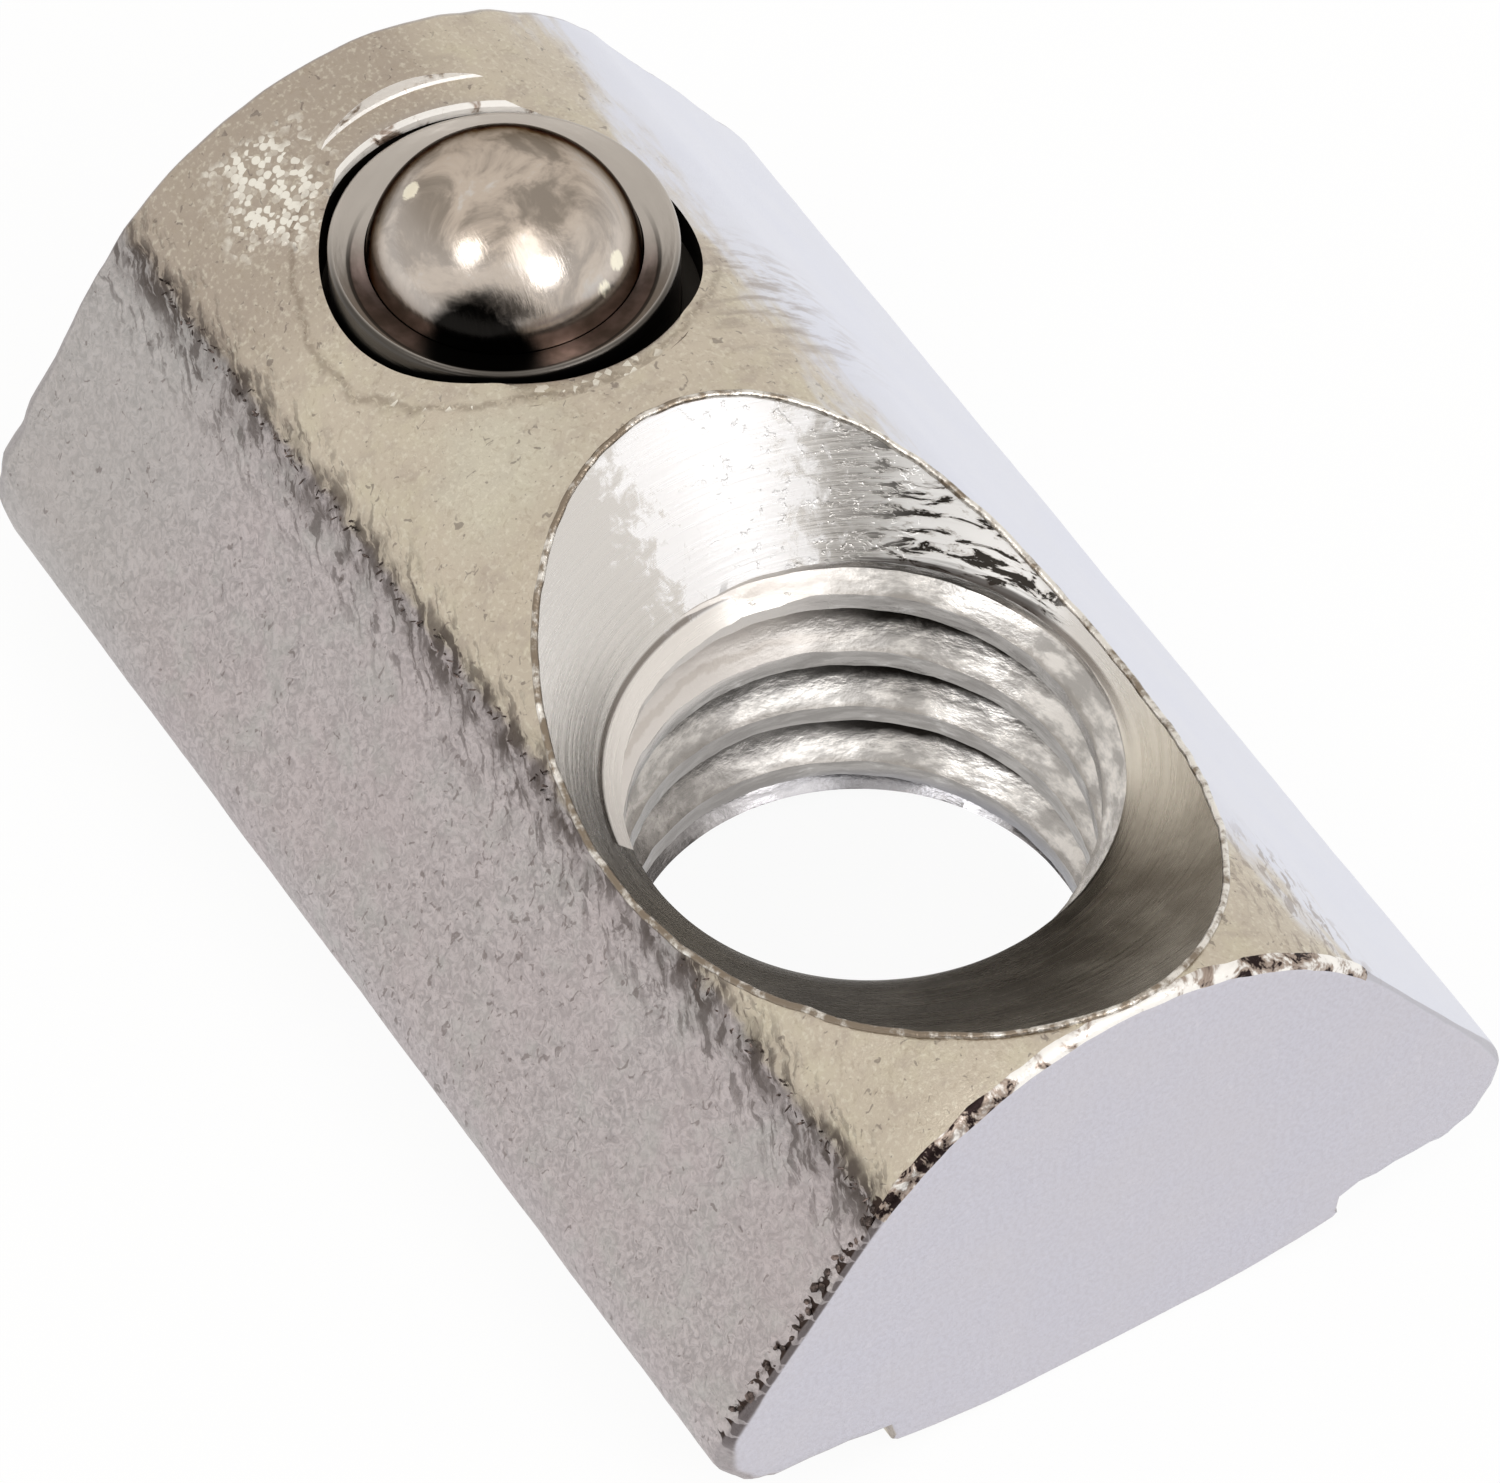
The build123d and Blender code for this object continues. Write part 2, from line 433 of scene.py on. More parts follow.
    # Soft brown streaks beside the plunger, and scratches near the end on the right
    streak = grain(2.0, 4.0, 0.6, over=graph.stretch(graph.place, (2.6, 0.6, 0.6), (0.0, 0.0, 0.5)))
    beside = band(across, 1.4, 2.2, 3.0, 4.6) * ramp(abs(x + 6.9), 1.9, 0.7)
    scratch = band(across, 2.3, 3.0, 3.7, 4.3) * ramp(x, 3.6, 5.0)

    # Dark teeth bitten into the left flat along the near end, and a dull line along the end's other edges
    teeth = z * 3.3 + grain(2.6, 2.0) * 2.4
    depth = abs(graph.maths("FRACT", teeth) - 0.5) * 0.68 - (shape.near - x)
    bitten = ramp(depth, 0.0, 0.05) * ramp(beyond_left, 0.35, 0.1) * ramp(z, 1.7, 2.2)
    turned_in = band(end_facing, 0.12, 0.35, 0.8, 0.97)

    # Ring of handling marks round the plunger's mouth
    ball_x, ball_y = shape.ball_place
    reach = graph.measure("LENGTH", graph.vector(x - ball_x, y - ball_y)) + wander * 0.42
    marked = band(reach, 2.90, 3.00, 3.02, 3.12) * ramp(worm, 0.36, 0.5) * ramp(x - y, -11.0, -9.0)

    # Peened facets at the far left of the arch, tilted by the bump and painted near-white as glints, and painted
    # glints in specks round the plunger's mouth
    cells = graph.add("ShaderNodeTexVoronoi", Vector=graph.place, Scale=9.0, Randomness=0.9).outputs
    tone = graph.axes(cells["Color"])
    peened = graph.measure("DISTANCE", graph.place, (-12.05, -2.38, 6.95)) + wander * 1.8
    near_patch = ramp(peened, 1.15, 0.5)
    facet_glint = near_patch * ramp(tone[0], 0.24, 0.55) * ramp(cells["Distance"], 0.72, 0.58) * off_end
    crumb_glints = band(reach, 2.72, 2.78, 2.98, 3.10) * ramp(tone[1], 0.86, 0.88)
    crumb_glints = crumb_glints * ramp(across, 1.2, 0.4) * ramp(x, -8.3, -7.7)

    skin = coats(
        arch,
        (on_left, left),
        (on_right, right),
        (on_end, end),
        (pits * 0.55, (0.16, 0.13, 0.12)),
        (smudge * off_end, (0.085, 0.068, 0.06)),
        (ramp(streak, 0.44, 0.66) * beside * 0.6, (0.36, 0.30, 0.26)),
        (strokes * scratch * off_end * 0.6, (0.30, 0.24, 0.20)),
        (bitten * off_end, (0.05, 0.035, 0.03)),
        (turned_in * 0.5, (0.34, 0.31, 0.32)),
        (marked * 0.45, (0.20, 0.15, 0.11)),
        # Painted glints: near-white on the peened facets and in specks beside the plunger
        (facet_glint * 0.9, (1.0, 0.98, 0.90)),
        (crumb_glints, (0.97, 0.94, 0.85)),
    )
    grained = on_left * off_end
    roughness = calm * 0.12 + ramp(grained, 0.0, 1.0, 0.30, 0.46)
    tilt = near_patch * tone[2] * 3.0
    height = grained * worm * 2.4 + tilt + grain(26.0, 3.0, 0.65) * 0.9
    return graph.finish(skin, roughness, graph.bump(height, 0.00002, 0.55))


def turned_wall(finishes, shape):
    """Bright turned steel with fine rings: torn on its right, with a painted highlight on its far side and painted
    shade, brown and olive, on its near side.
    """
    graph = Graph("turned_wall")
    grain, ramp, band, larger = graph.grain, graph.ramp, graph.band, graph.larger
    x, y, z = graph.axes(graph.place)
    turn = graph.turn(x, y)
    arc = turn * 4.6
    rings = grain(2.2, 4.0, 0.65, over=graph.vector(arc * 0.16, z * 7.0))
    torn = grain(1.5, 5.0, 0.66, 0.6, over=graph.vector(arc, z * 5.4))
    ripped = band(turn, 1.66, 1.85, 2.36, 2.70)
    dark, bright = ripped * ramp(torn, 0.535, 0.565), ripped * ramp(torn, 0.525, 0.485)
    # Painted highlight: a near-white, less metallic band on the far side of the wall, with ragged edges
    glare_turn = turn + (grain(3.4, 4.0, 0.66, 0.5) - 0.5) * 0.75
    painted_glare = band(glare_turn, 2.66, 2.86, 3.28, 3.42)
    # Painted shade: the near side of the wall, brown in patches and olive more widely
    low = band(turn, -1.75, -0.7, 0.40, 1.15) * ramp(grain(1.2, 4.0, 0.6), 0.30, 0.62, 0.72, 1.0)
    olive = band(turn, -1.9, -1.2, 1.0, 1.7)

    # Where the wall meets the thread: a pale ledge, a dark line of painted shade in the crease, and a gash
    foot = shape.foot_z
    ledge = ramp(z, foot + 0.02, foot - 0.03) * ramp(turn, 2.2, 2.8)
    line = ramp(abs(z - (foot + 0.04)), 0.06, 0.02) * ramp(turn, 1.0, 1.6)
    gash = band(turn, 1.7, 1.9, 2.55, 2.75) * ramp(z + rings * 0.3, foot + 0.36, foot + 0.24)
    wall = graph.coats(
        finishes.turned,
        (rings * 0.28, shaded(finishes.turned, 0.62)),
        (painted_glare, (0.98, 0.98, 1.0)),
        (olive * 0.75, (0.50, 0.45, 0.35)),
        (low, finishes.tarnish),
        (dark, (0.05, 0.045, 0.04)),
        (bright, (0.97, 0.97, 0.97)),
        (ledge, (0.80, 0.765, 0.73)),
        (line * 0.75, (0.13, 0.10, 0.08)),
        (gash * 0.9, (0.05, 0.04, 0.035)),
    )
    chipped = ramp(grain(5.5, 3.0, 0.6), 0.60, 0.66) * ramp(abs(turn - 2.75), 0.45, 0.2)
    height = rings * 0.33 - (dark + chipped * 0.5) * 2.2
    roughness = ramp(rings, 0.3, 0.7, 0.22, 0.30) + ripped * 0.06
    # Less metallic in the painted highlight, the pale ledge and the bright tears, so that they stay light
    metallic = 1.0 - larger(bright * 0.6, larger(painted_glare, ledge) * 0.75)
    return graph.finish(wall, roughness, graph.bump(height, 0.00002, 0.55), metallic)


def tapped_thread(finishes, thread):
    """Tapped thread: bright ragged flanks, crests painted darker and roots painted dark as shade, painted shade low
    in the hole, and a pale first land.
    """
    graph = Graph("tapped_thread")
    grain, ramp = graph.grain, graph.ramp
    x, y, z = graph.axes(graph.place)
    turn = graph.turn(x, y)
    arc = turn * 3.6
    drag = grain(2.2, 4.0, 0.62, over=graph.vector(arc * 0.7, z * 3.2))
    marks = grain(2.4, 4.0, 0.66, 0.3, over=graph.vector(arc * 0.8, z * 2.0))
    ragged = graph.measure("LENGTH", graph.vector(x, y)) + (marks - 0.5) * 0.26
    minor = thread.minor_radius * MM
    # Painted shade: dark roots under each crest, and grey crests that stand for the darker wall they mirror
    root = ramp(ragged, minor + 0.34, minor + 0.47) * ramp(turn, 3.1, 2.45, 0.12, 1.0)
    crest = ramp(ragged, minor + 0.09, minor + 0.01)
    # Painted shade on the lower threads of the hole's far left
    deep_shade = ramp(z, 3.4, 1.6) * ramp(turn, 2.7, 3.3, 0.0, 0.55)
    land = ramp(z, 3.50, 3.66) * ramp(turn, 2.45, 3.1)
    brown_line = ramp(abs(ragged - (minor + 0.20)), 0.07, 0.03)
    wall = graph.coats(
        shaded(finishes.thread, 1.15),
        (ramp(drag, 0.38, 0.60, 0.0, 0.8), shaded(finishes.thread, 0.5)),
        (crest * 0.72, (0.33, 0.31, 0.29)),
        (root, (0.045, 0.04, 0.035)),
        # Painted shade at the bottom of the hole
        (ramp(z, 0.95, 0.6) * 0.8, (0.33, 0.33, 0.36)),
        (deep_shade, (0.30, 0.28, 0.27)),
        (land, (0.82, 0.78, 0.75)),
        (land * brown_line * 0.25, (0.36, 0.29, 0.23)),
    )
    return graph.finish(wall, 0.26, graph.bump(drag + marks * 0.8, 0.00003, 0.4), 1.0 - land * 0.7)


def burr_metal(finishes):
    """Dark torn metal."""
    graph = Graph("burr_metal")
    metal = graph.mix(graph.ramp(graph.grain(8.0), 0.45, 0.7), finishes.burr, shaded(finishes.burr, 4.0))
    return graph.finish(metal, 0.5, graph.bump(graph.grain(30.0), 0.00002, 0.5))


def rim_metal(finishes):
    """Bright worn metal along the rim of the countersink, browner towards the left."""
    graph = Graph("rim_metal")
    y = graph.axes(graph.place)[1]
    brown = graph.grain(3.2, 4.0, 0.65) + graph.ramp(y, 1.2, -0.6, 0.02, 0.13)
    metal = graph.mix(graph.ramp(brown, 0.46, 0.66), finishes.rim, finishes.rim_brown)
    return graph.finish(metal, 0.28, graph.bump(graph.grain(14.0), 0.00003, 0.6))


def worn_edge(finishes, shape):
    """Edge metal rubbed bright and painted near-white and partly diffuse as a highlight, bruised dark on the near
    end's left and right.
    """
    graph = Graph("worn_edge")
    ramp = graph.ramp
    x, y, _ = graph.axes(graph.place)
    across, near = y - shape.middle, ramp(x, 3.0, 5.0)
    left, right = ramp(across, -1.5, -2.3) * near, ramp(across, 0.6, 2.0) * near
    bruise = graph.grain(2.6, 4.0, 0.65, 0.5) + (left * 0.17 + right * 0.13)
    metal = graph.coats(
        finishes.worn,
        (ramp(bruise, 0.56, 0.66), (0.42, 0.34, 0.29)),
        (ramp(bruise, 0.66, 0.72), (0.03, 0.02, 0.02)),
    )
    return graph.finish(
        metal, 0.38, graph.bump(graph.grain(9.0), 0.00003, 0.5), ramp(bruise, 0.5, 0.62, 0.25, 1.0)
    )


def pocket_wall(finishes):
    """Drilled wall of the pocket, near-black as painted shade deep in the pocket."""
    graph = Graph("pocket_wall")
    rings = graph.grain(3.0, over=graph.stretch(graph.place, (0.3, 0.3, 8.0)))
    wall = graph.mix(rings, finishes.pocket, shaded(finishes.pocket, 0.5))
    return graph.finish(wall, 0.45, graph.bump(rings, 0.00002, 0.4))


def polished_ball(finishes):
    """Polished ball with brown tarnish, faint scuffs, a painted sheen, painted shade low by the lip and towards its
    outline, a painted dark reflection on one side and painted glints.
    """
    graph = Graph("polished_ball")
    grain, ramp = graph.grain, graph.ramp
    tarnish = grain(1.05, 5.0, 0.62, 0.6)
    scuff = grain(4.0, 4.0, 0.65, over=graph.stretch(graph.place, (1.0, 5.0, 1.0), (0.2, 0.5, 0.9)))
    sheen = ramp(graph.axes(graph.normal)[2] + tarnish * 0.2, 0.98, 0.78)
    # Painted shade: dark brown round the ball low down, next to the sleeve's lip
    brim = graph.axes(graph.place)[2] + tarnish * 0.6
    # Painted shade: darker where the surface turns away from the view, towards the ball's outline
    grazing_shade = graph.add("ShaderNodeLayerWeight", Blend=0.5).outputs["Facing"]
    # Painted reflection: near-black on one side, where the ball mirrors the darker side of the room
    dark_reflection = graph.measure("DOT_PRODUCT", graph.normal, (0.755, -0.622, 0.208)) + (tarnish - 0.5) * 0.16
    layers = [
        (ramp(tarnish, 0.42, 0.62), shaded(finishes.ball, 0.60)),
        (sheen * 0.35, (0.74, 0.70, 0.67)),
        (ramp(tarnish, 0.42, 0.32, 0.0, 0.6), (0.70, 0.68, 0.66)),
        (ramp(brim, 8.05, 7.5, 0.0, 0.85), (0.15, 0.115, 0.095)),
        (ramp(grazing_shade, 0.60, 0.84, 0.0, 0.8), (0.13, 0.10, 0.08)),
        (ramp(dark_reflection, 0.905, 0.965), (0.012, 0.011, 0.010)),
    ]
    # Painted glints: small pale yellow spots at fixed directions on the ball
    painted_glints = (((-0.355, -0.545, 0.76), 0.9975), ((0.74, 0.49, 0.46), 0.9972), ((0.865, 0.305, 0.398), 0.9985))
    for spot, size in painted_glints:
        glint = graph.measure("DOT_PRODUCT", graph.normal, spot) + (scuff - 0.5) * 0.006
        layers.append((ramp(glint, size - 0.001, size + 0.001), (1.0, 0.94, 0.78)))
    metal = graph.coats(shaded(finishes.ball, 1.18), *layers)
    graph.put(graph.shader.inputs["Specular Tint"], (0.12, 0.10, 0.08, 1.0))
    return graph.finish(metal, ramp(scuff, 0.40, 0.75, 0.17, 0.27), graph.bump(scuff, 0.00001, 0.3))


def satin_sleeve(finishes, centre):
    """Satin sleeve, its mouth rubbed by forming, with a painted dark patch on the near side that stands for the
    ball's darkly mirrored underside and outline, and painted shade on its outer rim there.
    """
    graph = Graph("satin_sleeve")
    ramp, mix = graph.ramp, graph.mix
    rings = graph.grain(3.0, over=graph.stretch(graph.place, (0.6, 0.6, 5.0)))
    x, y, _ = graph.axes(graph.place)
    x, y = x - centre[0], y - centre[1]
    way_x, way_y = NEAR_SIDE

    def reach(shift):
        """Distance from a middle that is shifted towards the near side."""
        return graph.measure("LENGTH", graph.vector(x - way_x * shift, y - way_y * shift))

    toward, aside = x * way_x + y * way_y, y * way_x - x * way_y
    # Painted reflection: inside a circle shifted to the near side, brown and near-black like the ball's mirrored
    # underside, with a dark line for its outline
    film = reach(0.21)
    inside = ramp(film, 2.21, 2.17) * ramp(toward, -0.6, 0.6)
    brown = mix(ramp(graph.grain(1.6, 3.0, 0.6), 0.35, 0.65), (0.17, 0.13, 0.11), (0.34, 0.26, 0.24))
    painted_ball_edge = mix(ramp(abs(aside + 0.30), 1.05, 0.70), brown, (0.012, 0.011, 0.010))
    edge = ramp(abs(film - 2.20), 0.045, 0.015) * ramp(toward, -1.0, 0.4)
    # Painted shade on the near side of the sleeve's outer rim, in the gap to the pocket
    outer = ramp(reach(0.0), 2.40, 2.46) * ramp(toward, -0.6, 1.2)
    metal = graph.coats(
        finishes.sleeve,
        (rings * 0.5, shaded(finishes.sleeve, 0.75)),
        (inside, painted_ball_edge),
        (edge * 0.85, (0.03, 0.025, 0.02)),
        (outer * 0.9, (0.04, 0.035, 0.03)),
    )
    return graph.finish(metal, 0.32, graph.bump(rings, 0.00002, 0.35))


def spring_wire(finishes):
    """Drawn spring wire."""
    graph = Graph("spring_wire")
    draw = graph.grain(9.0)
    metal = graph.mix(draw, finishes.spring, shaded(finishes.spring, 0.7))
    return graph.finish(metal, 0.35, graph.bump(draw, 0.00001, 0.3))


# ---------------------------------------------------------------- mesh helpers


def new_object(name, data):
    """A new object in the scene."""
    thing = bpy.data.objects.new(name, data)
    bpy.context.scene.collection.objects.link(thing)
    return thing


def mesh_from(name, points, faces, materials):
    """A mesh from points in millimetres."""
    mesh = bpy.data.meshes.new(name)
    mesh.from_pydata((np.asarray(points) * (1 / MM)).tolist(), [], faces)
    for material in materials:
        mesh.materials.append(material)
    mesh.update()
    return mesh


def ring_stack(rings):
    """Faces of closed rings of points, each joined to the next, with both ends capped."""
    count = len(rings[0])
    faces = []
    for level in range(len(rings) - 1):
        low, high = level * count, (level + 1) * count
        for i in range(count):
            j = (i + 1) % count
            faces.append((low + i, low + j, high + j, high + i))
    faces.append(tuple(range(count - 1, -1, -1)))
    last = (len(rings) - 1) * count
    faces.append(tuple(range(last, last + count)))
    return np.concatenate(rings), faces


def baked(thing, name):
    """The object's evaluated mesh as a plain mesh, with its modifiers left behind."""
    bpy.context.view_layer.update()
    evaluated = thing.evaluated_get(bpy.context.evaluated_depsgraph_get())
    mesh = bpy.data.meshes.new_from_object(evaluated)
    mesh.name = name
    return mesh


def smoothed(mesh):
    """Smooth shading, with edges of 32 degrees and more kept sharp."""
    mesh.shade_smooth()
    mesh.set_sharp_from_angle(angle=math.radians(32.0))
    return mesh


def turned_solid(profile, centre, segments):
    """Rings of a turned solid from (radius, height) pairs in millimetres, capped top and bottom."""
    angles = np.arange(segments) * 2 * math.pi / segments
    cos, sin = np.cos(angles), np.sin(angles)
    return ring_stack([
        np.stack([centre[0] + radius * cos, centre[1] + radius * sin, np.full(segments, height)], 1)
        for radius, height in profile
    ])


# ---------------------------------------------------------------- nut body


class BodyShape:
    """The body's cross-section and holes, in millimetres."""

    # Zones of the outline, which say how the body's ends are rounded there
    NECK, FLAT, ARCH = 0.1, 0.5, 1.0

    def __init__(self, sizes, thread):
        self.near, self.far = sizes.near_end * MM, sizes.far_end * MM
        self.middle = sizes.middle * MM
        self.height = sizes.height * MM
        self.half_width = sizes.width * MM / 2
        self.half_arch = sizes.arch_width * MM / 2
        self.arch_rise = sizes.arch_rise * MM
        self.edge_z = self.height - self.arch_rise
        self.arch_radius = (self.half_arch**2 + self.arch_rise**2) / (2 * self.arch_rise)
        self.corner = sizes.corner_radius * MM
        self.neck_z = sizes.neck_height * MM
        self.half_neck = sizes.neck_width * MM / 2
        self.half_flat = sizes.neck_flat * MM / 2
        self.crown = sizes.neck_crown * MM
        self.corner_y = self.half_width - self.corner
        self.corner_z = self.neck_z + self.corner
        reach_y, reach_z = self.corner_y - self.half_arch, self.edge_z - self.corner_z
        self.slope = math.atan2(reach_z, reach_y) - math.asin(self.corner / math.hypot(reach_y, reach_z))
        self.ball_place = ((BALL_LOW.x + BALL_HIGH.x) * MM / 2, (BALL_LOW.y + BALL_HIGH.y) * MM / 2)
        self.foot_z = thread.sink_foot * MM
        self.foot_radius = thread.sink_foot_radius * MM
        self.sink_rise = (thread.sink_radius - thread.sink_foot_radius) * MM / (self.height - self.foot_z)
        self.sink_shift = thread.sink_shift * MM

    def skin_z(self, y):
        """Height of the back and side flats over a point across the slot."""
        across = abs(y - self.middle)
        if across <= self.half_arch:
            return self.height - self.arch_radius + math.sqrt(self.arch_radius**2 - across**2)
        return self.edge_z - (across - self.half_arch) * math.tan(self.slope)

    def section(self):
        """Points round the cross-section, each with the zone that says how its end is rounded."""
        points = []
        bend, corner, arch = 0.12, self.corner, self.arch_radius
        for t in np.linspace(0, 1, 9):
            y = self.half_flat + (self.half_neck - bend - self.half_flat) * t
            rise = ((y - self.half_flat) / (self.half_neck - self.half_flat)) ** 2
            points.append((y, self.crown * rise, self.NECK))
        for t in np.linspace(0.25, 1, 3):
            turn = -math.pi / 2 + t * math.pi / 2
            y = self.half_neck - bend + bend * math.cos(turn)
            points.append((y, self.crown + bend + bend * math.sin(turn), self.NECK))
        for y in np.linspace(self.half_neck + 0.03, self.corner_y, 6):
            points.append((y, self.neck_z, self.NECK))
        for turn in np.linspace(-math.pi / 2, math.pi / 2 - self.slope, 16)[1:]:
            y = self.corner_y + corner * math.cos(turn)
            points.append((y, self.corner_z + corner * math.sin(turn), self.FLAT))
        start = points[-1]
        for t in np.linspace(0, 1, 27)[1:-1]:
            y = start[0] + (self.half_arch - start[0]) * t
            points.append((y, start[1] + (self.edge_z - start[1]) * t, self.FLAT))
        half_turn = math.asin(self.half_arch / arch)
        for turn in np.linspace(half_turn, 0, 25)[:-1]:
            points.append((arch * math.sin(turn), self.height - arch + arch * math.cos(turn), self.ARCH))
        right = np.array([(0.0, 0.0, self.NECK)] + points + [(0.0, self.height, self.ARCH)])
        left = right[1:-1][::-1] * (-1, 1, 1)
        outline = np.concatenate([right, left])
        outline[:, 0] += self.middle
        return outline

    def sink(self, turn, z):
        """A point of the countersink at an angle and a height: a cone that leans along the slot."""
        radius = self.foot_radius + self.sink_rise * (z - self.foot_z)
        share = min(max((z - self.foot_z) / (self.height - self.foot_z), 0.0), 1.0)
        middle = self.sink_shift * (0.1 + 0.9 * share)
        return (middle + radius * math.cos(turn), radius * math.sin(turn), z)

    def rim(self, count):
        """Points of the countersink's rim on the skin."""
        points = []
        for turn in np.arange(count) * 2 * math.pi / count:
            low, high = 2.0, CLEAR
            for _ in range(40):
                z = (low + high) / 2
                above = z > self.skin_z(self.sink(turn, z)[1])
                low, high = (low, z) if above else (z, high)
            points.append(self.sink(turn, z))
        return np.array(points)


def skin_mesh(shape, sizes):
    """The uncut body: cross-sections along the slot, rounded and uneven at both ends."""
    outline = shape.section()
    ahead, behind = np.roll(outline[:, :2], -1, 0), np.roll(outline[:, :2], 1, 0)
    along = ahead - behind
    normals = np.stack([along[:, 1], -along[:, 0]], 1)
    normals /= np.linalg.norm(normals, axis=1)[:, None]
    depth = sizes.waviness * MM

    def rounding(end):
        """Rounding of an end at each point: by zone, and growing softly towards the lower corners."""
        far = end < 0
        zone, aside = outline[:, 2], outline[:, 0] - shape.middle
        arch_round = (sizes.far_round if far else sizes.near_round) * MM
        neck_round, rounder_right = 0.06, 0.22
        flat_round = np.where(zone == shape.NECK, neck_round, sizes.flat_round * MM)
        size = np.where(zone == shape.ARCH, arch_round, flat_round)
        if far:
            size = size + rounder_right * np.clip((aside - 0.6) / 2.2, 0, 1) * (zone != shape.NECK)
        # Share of the corner's own rounding, from all at its foot to none a reach higher
        reach = 4.2 if far else 2.2
        share = np.clip((shape.corner_z - 0.6 + reach - outline[:, 1]) / reach, 0, 1) * (np.abs(aside) > 3.9)
        corner = (sizes.far_corner_round if far else sizes.corner_round) * MM
        size = size + (corner - size) * share**1.5
        return np.convolve(np.concatenate([size[-2:], size, size[:2]]), np.ones(5) / 5, "valid")

    def ring(x, inset):
        """The cross-section at x, set in at each point and softly uneven."""
        ring_points = []
        for (y, z, _), normal, inward in zip(outline, normals, inset):
            spot = Vector((x, y, z))
            wave = noise.noise(spot * 0.9) + 0.5 * noise.noise(spot * 3)
            inward = inward + depth * (1.0 + wave)
            ring_points.append((x, y - normal[0] * inward, z - normal[1] * inward))
        return np.array(ring_points)

    rings = []
    for end, sign in ((shape.far, 1), (shape.near, -1)):
        lumps = np.array([noise.noise(Vector((p[0] * 2.5, p[1] * 2.5, end))) for p in outline])
        size = rounding(end) * (1 + 0.35 * lumps)
        end_rings = []
        for turn in np.linspace(0, math.pi / 2, 6):
            points = ring(end, size * (1 - math.sin(turn)))
            points[:, 0] = end + sign * size * (1 - math.cos(turn))
            end_rings.append(points)
        if sign > 0:
            rings += end_rings
        else:
            closing = end_rings[::-1]
    for x in np.linspace(shape.far + 1.4, shape.near - 0.8, 88):
        rings.append(ring(x, np.zeros(len(outline))))
    rings += closing
    return ring_stack(rings)


def thread_cutter(thread):
    """The tapped hole as one solid: a grid that climbs with the helix, its seam joined one turn up."""
    minor, major = thread.minor_radius * MM, thread.major_radius * MM
    pitch, rough = thread.pitch * MM, thread.roughness * MM
    # Heights over one pitch, in pitches: the root lies at nought and the crest beyond crest_at
    steps = (-0.5, -0.44, -0.375, -0.30, -0.21, -0.13, -0.0625, 0.0, 0.0625, 0.13, 0.21, 0.30, 0.375, 0.44)
    root_half, crest_at = 0.0625, 0.375
    depth = [min(max((crest_at - abs(step)) / (crest_at - root_half), 0.0), 1.0) for step in steps]
    segments, turns, turns_below = ROUND_STEPS, 8, 3
    back = math.atan2(-NEAR_SIDE[1], -NEAR_SIDE[0])
    points = []
    for i in range(segments):
        angle = i * 2 * math.pi / segments
        foot = thread.root_height * MM + pitch * ((angle - back) / (2 * math.pi) - turns_below)
        for lap in range(turns):
            for step, share in zip(steps, depth):
                z = foot + pitch * (lap + step)
                # The thread runs out towards the countersink and towards the lead-in
                widest = min(major, max(thread.sink_foot_radius * MM, major - 0.6 * (z - 4.3)))
                widest = min(widest, max(minor, minor + (z - 0.3) * 1.4))
                spot = Vector((math.cos(angle) * 7, math.sin(angle) * 7, z * 4))
                uneven = noise.noise(spot) + 0.5 * noise.noise(spot * 2.7)
                radius = min(minor + (major - minor) * share, widest) + rough * uneven * (1.6 - share)
                points.append((radius * math.cos(angle), radius * math.sin(angle), z))
    per_turn, levels = len(steps), turns * len(steps)

    def column(i, k):
        return (i % segments) * levels + k + (per_turn if i == segments else 0)

    faces = []
    for i in range(segments):
        last = levels - 1 - (per_turn if i == segments - 1 else 0)
        for k in range(last):
            faces.append((column(i, k), column(i + 1, k), column(i + 1, k + 1), column(i, k + 1)))
    low, high, end = len(points), len(points) + 1, (segments - 1) * levels
    points += [(0.0, 0.0, points[0][2] + pitch / 2), (0.0, 0.0, points[levels - 1][2] + pitch / 2)]
    floor_loop = [column(i, 0) for i in range(segments)] + list(range(per_turn, 0, -1))
    roof_loop = [column(i, levels - 1) for i in range(segments)]
    roof_loop += [end + levels - 1 - k for k in range(1, per_turn + 1)]
    faces += [(low, b, a) for a, b in zip(floor_loop, floor_loop[1:] + floor_loop[:1])]
    faces += [(high, a, b) for a, b in zip(roof_loop, roof_loop[1:] + roof_loop[:1])]
    return points, faces


def sink_cutter(shape):
    """The leaning countersink, open above the back."""
    angles = np.arange(ROUND_STEPS) * 2 * math.pi / ROUND_STEPS
    overlap, wall_steps = 0.45, 12
    levels = [shape.foot_z - overlap, *np.linspace(shape.foot_z, shape.height, wall_steps), CLEAR]
    return ring_stack([np.array([shape.sink(turn, z) for turn in angles]) for z in levels])


def lead_cutter(thread):
    """The bevel where the screw enters."""
    radius, lead = thread.minor_radius * MM, thread.lead_in * MM
    return turned_solid([(radius + lead + 0.2, -0.2), (radius - 0.05, lead + 0.05)], (0.0, 0.0), 160)


